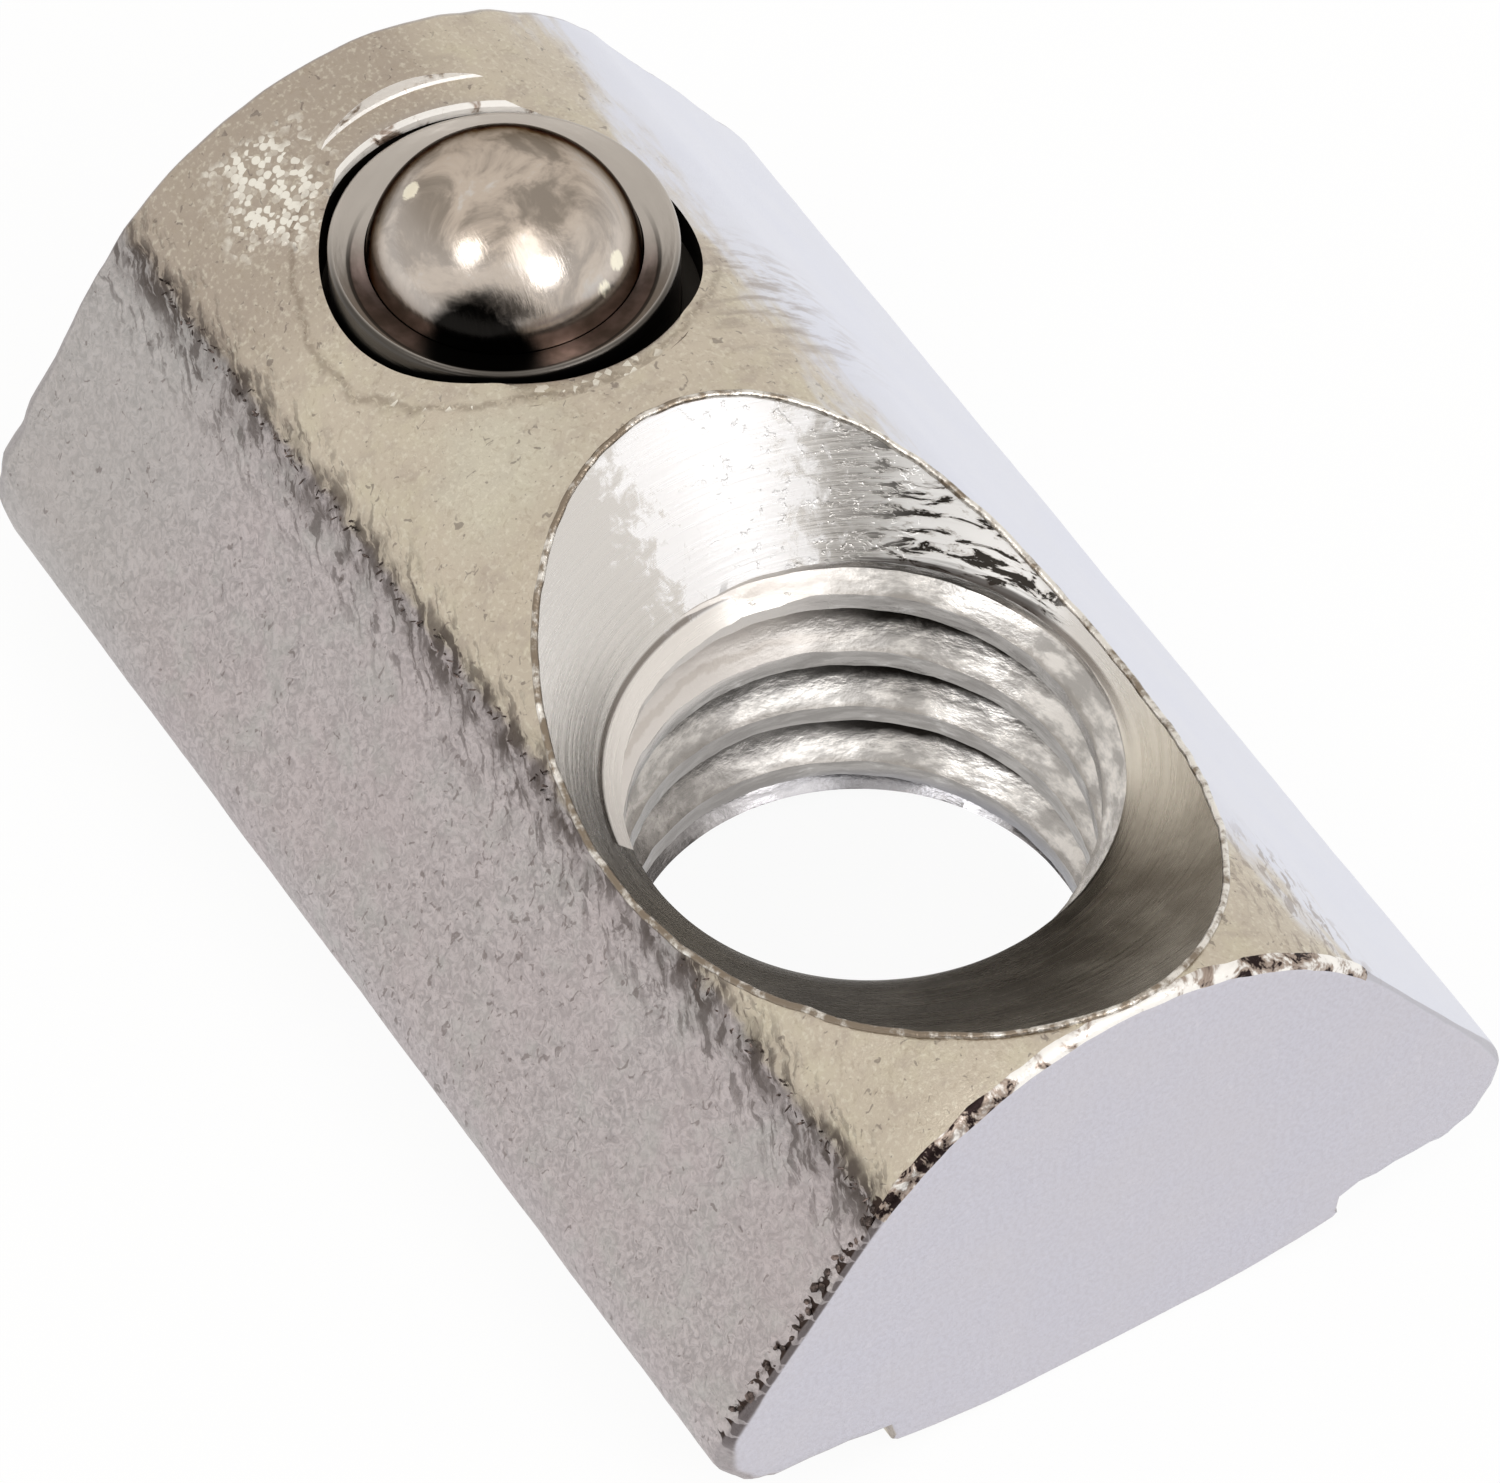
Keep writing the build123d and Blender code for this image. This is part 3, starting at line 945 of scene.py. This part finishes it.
def pocket_cutter(shape, plunger):
    """The stepped blind pocket, its mouth pressed in against the sleeve on one side, and its spot face."""
    bore = (SLEEVE_HIGH.x - SLEEVE_LOW.x) * MM / 2 + plunger.sleeve_gap * MM
    floor, ledge = SLEEVE_LOW.z * MM, plunger.mouth_floor * MM
    face, face_z = plunger.spotface_radius * MM, plunger.spotface_height * MM
    long, short = plunger.mouth_long * MM, plunger.mouth_short * MM
    drift, shift = plunger.mouth_drift * MM, plunger.mouth_shift * MM
    press = plunger.press_turn
    down = np.array([-math.cos(press), -math.sin(press)])
    aside = np.array([-down[1], down[0]])
    turns = -np.arange(192) * 2 * math.pi / 192
    pressed = np.clip(np.cos(turns + math.pi / 2 + 0.73), 0, 1)

    def circle(radius, z):
        flat = radius * (np.cos(turns)[:, None] * aside + np.sin(turns)[:, None] * down) + shape.ball_place
        return np.column_stack([flat, np.full(len(turns), z)])

    def mouth(grow, z):
        across = drift + (long + grow) * np.cos(turns)
        along = shift + (short + grow) * np.sin(turns)
        flat = across[:, None] * aside + along[:, None] * down + shape.ball_place
        return np.column_stack([flat, np.broadcast_to(z, len(turns))])

    # Width of the rounded brim, wider where it is pressed in, and the draft of the spot face's wall
    soft = 0.045 + 0.085 * pressed
    wall = 0.075
    rings = [circle(bore, floor), circle(bore, ledge - 0.03), mouth(0.0, ledge), mouth(0.0, face_z - soft)]
    rings += [mouth(soft * 0.35, face_z - soft * 0.35), mouth(soft, face_z), circle(face - 0.03, face_z)]
    rings += [circle(face + 0.01, face_z + 0.03), circle(face + wall, face_z + 0.22), circle(face + wall, CLEAR)]
    return ring_stack(rings)


def cut(mesh_object, cutters):
    """Cuts solids out of an object and removes them."""
    for name, cutter in cutters:
        modifier = mesh_object.modifiers.new(name, "BOOLEAN")
        modifier.operation = "DIFFERENCE"
        modifier.solver = "MANIFOLD"
        modifier.object = cutter
    mesh = baked(mesh_object, mesh_object.name)
    mesh_object.modifiers.clear()
    mesh_object.data = mesh
    for _, cutter in cutters:
        bpy.data.objects.remove(cutter)


# ---------------------------------------------------------------- geometry nodes


class Recipe(Nodes):
    """A Geometry Nodes tree with named inputs, which ends in real geometry of one material."""

    def __init__(self, name, **inputs):
        super().__init__(bpy.data.node_groups.new(name, "GeometryNodeTree"))
        sockets = self.tree.interface
        for label, kind in {"Geometry": "Geometry", **inputs, "Material": "Material"}.items():
            sockets.new_socket(label.replace("_", " "), in_out="INPUT", socket_type="NodeSocket" + kind)
        sockets.new_socket("Geometry", in_out="OUTPUT", socket_type="NodeSocketGeometry")
        self.given = self.add("NodeGroupInput").outputs

    def scaled(self, vector, scale):
        return self.add("ShaderNodeVectorMath", {"operation": "SCALE"}, Vector=vector, Scale=scale).outputs["Vector"]

    def random(self, low, high, seed=0):
        node = self.add("FunctionNodeRandomValue", {"data_type": "FLOAT_VECTOR"}, Min=low, Max=high, Seed=seed)
        return next(output for output in node.outputs if output.enabled and output.type == "VECTOR")

    def shifted(self, geometry, offset):
        return self.add("GeometryNodeSetPosition", Geometry=geometry, Offset=offset).outputs["Geometry"]

    def swept(self, curve, radius, sides, caps=False):
        profile = self.add("GeometryNodeCurvePrimitiveCircle", Radius=radius, Resolution=sides).outputs["Curve"]
        return self.add("GeometryNodeCurveToMesh", Curve=curve, Profile_Curve=profile, Fill_Caps=caps).outputs["Mesh"]

    def end(self, geometry):
        real = self.add("GeometryNodeRealizeInstances", Geometry=geometry).outputs["Geometry"]
        paint = self.add("GeometryNodeSetMaterial", Geometry=real, Material=self.given["Material"])
        self.add("NodeGroupOutput", Geometry=paint.outputs["Geometry"])
        return self.tree


def apply_tree(thing, tree, values, name):
    """Runs a tree on an object and returns the plain mesh it makes."""
    modifier = thing.modifiers.new(tree.name, "NODES")
    modifier.node_group = tree
    for item in tree.interface.items_tree:
        if item.in_out == "INPUT" and item.name in values:
            modifier[item.identifier] = values[item.name]
    mesh = baked(thing, name)
    bpy.data.objects.remove(thing)
    return mesh


def path_object(name, paths, closed=False):
    """A poly curve of paths in millimetres."""
    curve = bpy.data.curves.new(name, "CURVE")
    curve.dimensions = "3D"
    for path in paths:
        spline = curve.splines.new("POLY")
        spline.points.add(len(path) - 1)
        spline.points.foreach_set("co", np.column_stack([np.asarray(path) / MM, np.ones(len(path))]).ravel())
        spline.use_cyclic_u = closed
    return new_object(name, curve)


def burr_tree():
    """Small torn chips scattered in a band along edges."""
    recipe = Recipe("burr_marks", Spacing="Float", Size="Float", Band="Float", Stoutness="Float", Seed="Int")
    given = recipe.given
    points = recipe.add(
        "GeometryNodeCurveToPoints", {"mode": "LENGTH"}, Curve=given["Geometry"], Length=given["Spacing"]
    )
    scatter = recipe.random((-0.5, -0.5, -0.5), (0.5, 0.5, 0.5), given["Seed"])
    spots = recipe.shifted(points.outputs["Points"], recipe.scaled(scatter, given["Band"]))
    stout = recipe.add("ShaderNodeCombineXYZ", X=given["Stoutness"], Y=given["Stoutness"], Z=1.0).outputs["Vector"]
    shape = recipe.random(recipe.scaled(stout, 0.4), stout)
    place = recipe.add(
        "GeometryNodeInstanceOnPoints",
        Points=spots,
        Instance=recipe.add("GeometryNodeMeshIcoSphere", Radius=1.0, Subdivisions=1).outputs["Mesh"],
        Rotation=recipe.random((0.0, 0.0, 0.0), (6.28, 6.28, 6.28), given["Seed"]),
        Scale=recipe.scaled(shape, given["Size"]),
    )
    return recipe.end(place.outputs["Instances"])


def bead_tree():
    """A thin uneven bead along a closed edge."""
    recipe = Recipe("worn_bead", Radius="Float", Unevenness="Float")
    place = recipe.add("GeometryNodeInputPosition").outputs["Position"]
    lumps = recipe.add("ShaderNodeTexNoise", Vector=place, Scale=1800.0, Detail=3.0).outputs["Color"]
    centred = recipe.add("ShaderNodeVectorMath", {"operation": "SUBTRACT"}, Vector=lumps)
    centred.inputs[1].default_value = (0.5, 0.5, 0.5)
    offset = recipe.scaled(centred.outputs["Vector"], recipe.given["Unevenness"])
    path = recipe.shifted(recipe.given["Geometry"], offset)
    return recipe.end(recipe.swept(path, recipe.given["Radius"], 8))


def spring_tree():
    """A coil of round wire."""
    recipe = Recipe(
        "coil_spring", Turns="Float", Coil_Radius="Float", Height="Float", Wire_Radius="Float", Foot="Vector"
    )
    given = recipe.given
    coil = recipe.add(
        "GeometryNodeCurveSpiral", Resolution=48, Rotations=given["Turns"], Start_Radius=given["Coil Radius"],
        End_Radius=given["Coil Radius"], Height=given["Height"],
    )
    moved = recipe.add("GeometryNodeTransform", Geometry=coil.outputs["Curve"], Translation=given["Foot"])
    return recipe.end(recipe.swept(moved.outputs["Geometry"], given["Wire Radius"], 16, caps=True))


def join_to(main, others):
    """Joins loose meshes into the main object."""
    things = [main, *(new_object("loose", mesh) for mesh in others)]
    with bpy.context.temp_override(
        active_object=main, object=main, selected_objects=things, selected_editable_objects=things
    ):
        bpy.ops.object.join()


# ---------------------------------------------------------------- operators


class NUT_OT_body(bpy.types.Operator):
    """Builds the nut body with its thread, countersink, pocket and burrs"""

    bl_idname = "slot_nut.body"
    bl_label = "Nut body"

    def execute(self, context):
        scene = context.scene
        sizes, thread, plunger = scene.nut_body_sizes, scene.nut_thread_sizes, scene.nut_plunger_sizes
        finishes = scene.nut_finishes
        shape = BodyShape(sizes, thread)
        slots = [
            plated_skin(finishes, shape), turned_wall(finishes, shape), tapped_thread(finishes, thread),
            # The pocket's wall is near-black, painted shade
            pocket_wall(finishes), worn_edge(finishes, shape),
        ]
        # The last slot is the rubbed edge metal, painted near-white as a highlight
        plated, turned, tapped, drilled, worn = range(len(slots))
        body = new_object("nut_block", mesh_from("nut_block", *skin_mesh(shape, sizes), slots))
        cutters = []
        for name, solid, index in (
            ("thread", thread_cutter(thread), tapped), ("sink", sink_cutter(shape), turned),
            ("lead", lead_cutter(thread), tapped), ("recess", pocket_cutter(shape, plunger), drilled),
        ):
            cutter = new_object(name, mesh_from(name, *solid, slots))
            cutter.data.polygons.foreach_set("material_index", [index] * len(cutter.data.polygons))
            cutters.append((name, cutter))
        self.dress_recess(cutters[-1][1].data, shape, plunger, plated, worn)
        cut(body, cutters)
        self.dress_ends(body.data, shape, plated, worn)
        join_to(body, self.edge_marks(scene, shape))
        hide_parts("nut_body")
        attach(body, "nut")
        return {"FINISHED"}

    def dress_recess(self, mesh, shape, plunger, plated, worn):
        """Plates the spot face and the top of the pocket, leaving the deeper wall with its painted shade, and gives
        the mouth's brim on the pressed side the rubbed edge metal with its painted highlight.
        """
        ball_x, ball_y = shape.ball_place
        for face in mesh.polygons:
            x, y, z = face.center * MM
            level, slant = z - plunger.spotface_height * MM, abs(face.normal.z)
            if level > -0.6:
                face.material_index = plated
            # Largest in the middle of the pressed side, which lies a little past the press direction
            pressed = math.cos(math.atan2(y - ball_y, x - ball_x) - plunger.press_turn - 0.68)
            if level > -0.14 and 0.08 < slant < 0.95 and pressed > 0.6:
                face.material_index = worn

    def dress_ends(self, mesh, shape, plated, worn):
        """Gives the near end's rounded arch edge the rubbed edge metal with its painted highlight, and keeps the sawn
        ends flat.
        """
        edge_x, edge_z = (shape.near - 0.3) / MM, (shape.edge_z - 0.2) / MM
        for face in mesh.polygons:
            if face.material_index == plated and 0.12 < face.normal.x < 0.985:
                if face.center.x > edge_x and face.center.z > edge_z:
                    face.material_index = worn
        smoothed(mesh)
        for face in mesh.polygons:
            if abs(face.normal.x) > 0.9995 and face.material_index == plated:
                face.use_smooth = False

    def edge_marks(self, scene, shape):
        """The burrs on the arch's left edge and down the near end's left edge, and the countersink's bead."""
        burrs, thread, finishes = scene.nut_burrs, scene.nut_thread_sizes, scene.nut_finishes
        left, edge, low = shape.middle - shape.half_arch, shape.edge_z, shape.corner_z + 0.85
        # The marks along the arch leave out the stretch beside the countersink
        stretches = ((shape.far + 0.9, -1.2, 60), (1.9, shape.near - 0.15, 30))
        paths = [[(x, left - 0.03, edge - 0.05) for x in np.linspace(*stretch)] for stretch in stretches]
        end_x, slope = shape.near - 0.19, math.tan(shape.slope)
        end_path = [(end_x, left - (edge - z) / slope, z - 0.03) for z in np.linspace(edge, low, 40)]
        metal = burr_metal(finishes)
        along, down = (
            {
                "Spacing": getattr(burrs, where + "spacing"), "Size": getattr(burrs, where + "size"),
                "Band": getattr(burrs, where + "band"), "Stoutness": getattr(burrs, where + "stoutness"),
                "Seed": burrs.seed + further, "Material": metal,
            }
            for where, further in (("", 0), ("end_", 3))
        )
        bead = {"Radius": thread.rim_bead, "Unevenness": thread.rim_bead * 1.6, "Material": rim_metal(finishes)}
        rim = path_object("rim_path", [shape.rim(400)], closed=True)
        meshes = [
            apply_tree(path_object("edge_paths", paths), burr_tree(), along, "burr_marks"),
            apply_tree(path_object("end_path", [end_path]), burr_tree(), down, "end_burr"),
            apply_tree(rim, bead_tree(), bead, "rim_bead"),
        ]
        meshes[-1].shade_smooth()
        return meshes


class NUT_OT_sleeve(bpy.types.Operator):
    """Builds the plunger sleeve with its rolled-in mouth"""

    bl_idname = "slot_nut.sleeve"
    bl_label = "Plunger sleeve"

    def execute(self, context):
        plunger = context.scene.nut_plunger_sizes
        outer = (SLEEVE_HIGH.x - SLEEVE_LOW.x) * MM / 2
        centre = ((SLEEVE_LOW.x + SLEEVE_HIGH.x) * MM / 2, (SLEEVE_LOW.y + SLEEVE_HIGH.y) * MM / 2)
        low, high = SLEEVE_LOW.z * MM, SLEEVE_HIGH.z * MM
        ball_radius = (BALL_HIGH.x - BALL_LOW.x) * MM / 2
        ball_z = (BALL_LOW.z + BALL_HIGH.z) * MM / 2
        lip = plunger.lip_height * MM
        inner, brim, lip_z = outer - plunger.sleeve_wall * MM, 0.08, ball_z + lip
        floor = low + plunger.sleeve_wall * MM
        lip_radius = math.sqrt((ball_radius + plunger.lip_gap * MM) ** 2 - lip**2)
        # From the chamfered foot up the outside, over the rolled-in mouth and down the inside
        profile = [(outer - 0.1, low), (outer - 0.03, low + 0.03), (outer, low + 0.1), (outer, high - 0.12)]
        for turn in np.linspace(0, math.pi / 2, 5):
            profile.append((outer - brim + brim * math.cos(turn), high - brim + brim * math.sin(turn)))
        for t in np.linspace(0.15, 1, 7):
            radius = outer - brim + (lip_radius - outer + brim) * t
            profile.append((radius, high + (lip_z + 0.03 - high) * (1 - (1 - t) ** 1.6)))
        profile += [(lip_radius, lip_z), (inner - 0.02, ball_z), (inner, ball_z - 0.1)]
        profile += [(inner, floor + 0.1), (inner - 0.1, floor)]
        material = satin_sleeve(context.scene.nut_finishes, centre)
        mesh = mesh_from("sleeve_cup", *turned_solid(profile, centre, 128), [material])
        sleeve = new_object("sleeve_cup", smoothed(mesh))
        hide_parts("plunger_sleeve")
        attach(sleeve, "nut")
        return {"FINISHED"}


class NUT_OT_ball(bpy.types.Operator):
    """Builds the polished ball, very slightly worn at its crown"""

    bl_idname = "slot_nut.ball"
    bl_label = "Ball"

    def execute(self, context):
        x, y, z = (middle * MM for middle in (BALL_LOW + BALL_HIGH) / 2)
        profile = []
        for turn in np.linspace(-math.pi / 2, math.pi / 2, 73)[1:-1]:
            worn = 0.004 * math.exp(-(((math.pi / 2 - turn) / 0.2) ** 2))
            radius = (BALL_HIGH.x - BALL_LOW.x) * MM / 2 - worn
            profile.append((radius * math.cos(turn), z + radius * math.sin(turn)))
        material = polished_ball(context.scene.nut_finishes)
        mesh = mesh_from("detent_sphere", *turned_solid(profile, (x, y), 144), [material])
        mesh.shade_smooth()
        ball = new_object("detent_sphere", mesh)
        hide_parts("ball")
        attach(ball, "detent_ball")
        return {"FINISHED"}


class NUT_OT_spring(bpy.types.Operator):
    """Builds the coil spring under the ball"""

    bl_idname = "slot_nut.spring"
    bl_label = "Spring"

    def execute(self, context):
        plunger = context.scene.nut_plunger_sizes
        wire, tall = plunger.wire / 2, SPRING_HIGH.z - SPRING_LOW.z
        foot = Vector(((SPRING_LOW.x + SPRING_HIGH.x) / 2, (SPRING_LOW.y + SPRING_HIGH.y) / 2, SPRING_LOW.z + wire))
        values = {
            "Turns": plunger.turns, "Coil Radius": (SPRING_HIGH.x - SPRING_LOW.x) / 2 - wire,
            "Height": tall - 2 * wire, "Wire Radius": wire, "Foot": foot,
            "Material": spring_wire(context.scene.nut_finishes),
        }
        holder = new_object("spring_seed", bpy.data.meshes.new("spring_seed"))
        mesh = apply_tree(holder, spring_tree(), values, "plunger_spring")
        mesh.shade_smooth()
        spring = new_object("plunger_spring", mesh)
        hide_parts("spring")
        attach(spring, "nut")
        keep = 1 - BALL_JOINT["range_m"][1] / tall
        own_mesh(spring)
        return {"FINISHED"}


class NUT_OT_stage(bpy.types.Operator):
    """Sets the floor, the soft lights and the camera"""

    bl_idname = "slot_nut.stage"
    bl_label = "Stage"

    def execute(self, context):
        scene, studio = context.scene, context.scene.nut_studio
        self.lay_floor(studio)
        self.light_room(scene, studio)
        self.hang_lamps()
        self.place_camera(scene, studio)
        return {"FINISHED"}

    def lay_floor(self, studio):
        """A pale floor that the camera and the metal both find nearly white."""
        half = studio.floor_size / 2
        mesh = bpy.data.meshes.new("floor")
        mesh.from_pydata([(-half, -half, 0), (half, -half, 0), (half, half, 0), (-half, half, 0)], [], [(0, 1, 2, 3)])
        material = bpy.data.materials.new("pale_floor")
        material.use_nodes = True
        nodes = Nodes(material.node_tree)
        nodes.tree.nodes.clear()
        path = nodes.add("ShaderNodeLightPath").outputs
        seen = nodes.larger(path["Is Glossy Ray"], path["Is Transmission Ray"])
        level = nodes.add("ShaderNodeMapRange", Value=seen, To_Max=studio.floor_glow).outputs[0]
        direct = nodes.add("ShaderNodeMix", Factor=path["Is Camera Ray"], A=level, B=studio.floor_white)
        diffuse = nodes.add("ShaderNodeBsdfDiffuse", Color=(*studio.floor, 1.0)).outputs[0]
        total = nodes.add("ShaderNodeMixShader", Fac=direct.outputs["Result"])
        nodes.put(total.inputs[1], diffuse)
        nodes.put(total.inputs[2], nodes.add("ShaderNodeEmission").outputs[0])
        nodes.add("ShaderNodeOutputMaterial", Surface=total.outputs[0])
        mesh.materials.append(material)
        new_object("floor", mesh)

    def light_room(self, scene, studio):
        """Even light all round, darker on one low side. The camera sees plain white."""
        world = scene.world = bpy.data.worlds.new("studio")
        world.use_nodes = True
        nodes = Nodes(world.node_tree)
        nodes.tree.nodes.clear()
        way = nodes.add("ShaderNodeTexCoord").outputs["Generated"]
        toward = nodes.measure("DOT_PRODUCT", way, (0.766, -0.643, -0.25))
        room = nodes.mix(nodes.ramp(toward, 0.73, 0.82), studio.room, studio.shade)
        path = nodes.add("ShaderNodeLightPath").outputs
        shade = nodes.mix(path["Is Camera Ray"], room, (1.0, 1.0, 1.0))
        back = nodes.add("ShaderNodeBackground", Color=shade).outputs[0]
        nodes.add("ShaderNodeOutputWorld", Surface=back)

    def hang_lamps(self):
        """Three round soft lamps that face the nut, each a name, a direction, a size and a radiance."""
        target, distance = Vector((-0.003, 0.0, 0.004)), 0.45
        for name, direction, size, radiance in (
            ("lamp_by_camera", (0.127, -0.629, 0.767), 0.15, 3.8),
            ("lamp_right_of_camera", (0.8235, 0.186, 0.538), 0.165, 5.2),
            ("soft_box", (0.60, 0.12, 0.79), 0.30, 1.1),
        ):
            light = bpy.data.lights.new(name, "AREA")
            light.shape = "DISK"
            light.size = size
            light.energy = radiance * math.pi * math.pi * (size / 2) ** 2
            lamp = new_object(name, light)
            away = Vector(direction).normalized()
            lamp.location = target + away * distance
            lamp.rotation_euler = away.to_track_quat("Z", "Y").to_euler()

    def place_camera(self, scene, studio):
        """The camera, in front of the near end and above it on the left."""
        camera = bpy.data.cameras.new("camera")
        camera.sensor_width = 36.0
        camera.lens = studio.lens
        camera.clip_start = 0.001
        view = scene.camera = new_object("camera", camera)
        view.location = studio.camera_place
        view.rotation_euler = (studio.camera_tilt, 0.0, studio.camera_turn)
        scene.view_settings.view_transform = "Standard"


class NUT_PT_panel(bpy.types.Panel):
    """Lists the nut's sizes, finishes and operators"""

    bl_idname = "NUT_PT_panel"
    bl_label = "T slot nut"
    bl_space_type = "VIEW_3D"
    bl_region_type = "UI"
    bl_category = "Slot Nut"

    def draw(self, context):
        for operator in OPERATORS:
            self.layout.operator(operator.bl_idname)
        for name in GROUPS:
            box = self.layout.box()
            box.label(text=name.replace("_", " "))
            for key in GROUPS[name].__annotations__:
                box.prop(getattr(context.scene, name), key)


OPERATORS = (NUT_OT_body, NUT_OT_sleeve, NUT_OT_ball, NUT_OT_spring, NUT_OT_stage)


def register():
    for name, group in GROUPS.items():
        bpy.utils.register_class(group)
        setattr(bpy.types.Scene, name, PointerProperty(type=group))
    for operator in OPERATORS:
        bpy.utils.register_class(operator)
    bpy.utils.register_class(NUT_PT_panel)


def unregister():
    bpy.utils.unregister_class(NUT_PT_panel)
    for operator in reversed(OPERATORS):
        bpy.utils.unregister_class(operator)
    for name, group in reversed(GROUPS.items()):
        delattr(bpy.types.Scene, name)
        bpy.utils.unregister_class(group)


def main():
    register()
    bpy.ops.slot_nut.body()
    bpy.ops.slot_nut.sleeve()
    bpy.ops.slot_nut.ball()
    bpy.ops.slot_nut.spring()
    bpy.ops.slot_nut.stage()
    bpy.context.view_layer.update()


if __name__ == "__main__":
    main()
